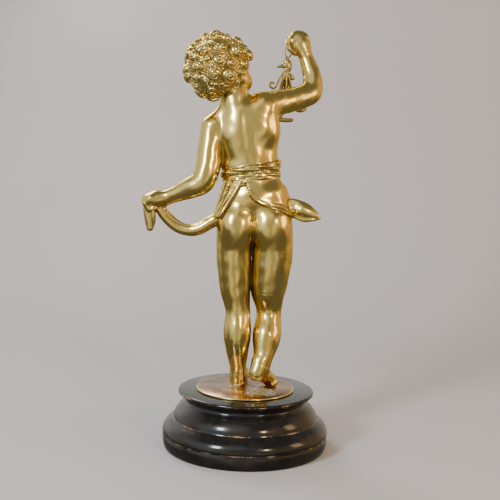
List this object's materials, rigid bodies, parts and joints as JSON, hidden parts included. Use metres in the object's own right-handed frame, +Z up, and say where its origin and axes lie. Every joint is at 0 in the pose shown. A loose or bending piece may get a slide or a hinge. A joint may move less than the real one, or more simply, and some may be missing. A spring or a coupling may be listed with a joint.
{
  "type": "standing figurine",
  "caption": "Cast brass standing boy in a sash, raising a hanging sprig, on a brass disc and a turned black wood plinth.",
  "frame": {"origin": "middle of the plinth's flat underside", "axes": "+Z up, the figure looks towards -Y, +X is the figure's left"},
  "size_m": [0.2146, 0.185, 0.4695],
  "materials": {
    "brass": "polished cast brass with residue in the recesses",
    "sprig_brass": "dull darkened brass",
    "disc_brass": "worn sheet brass with a coppery tarnish",
    "ebonised_wood": "glossy black stain with worn edges"
  },
  "bodies": {
    "root": {"boy_figure": "brass", "hanging_sprig": "sprig_brass", "brass_disc": "disc_brass", "wood_plinth": "ebonised_wood"}
  },
  "joints": []
}
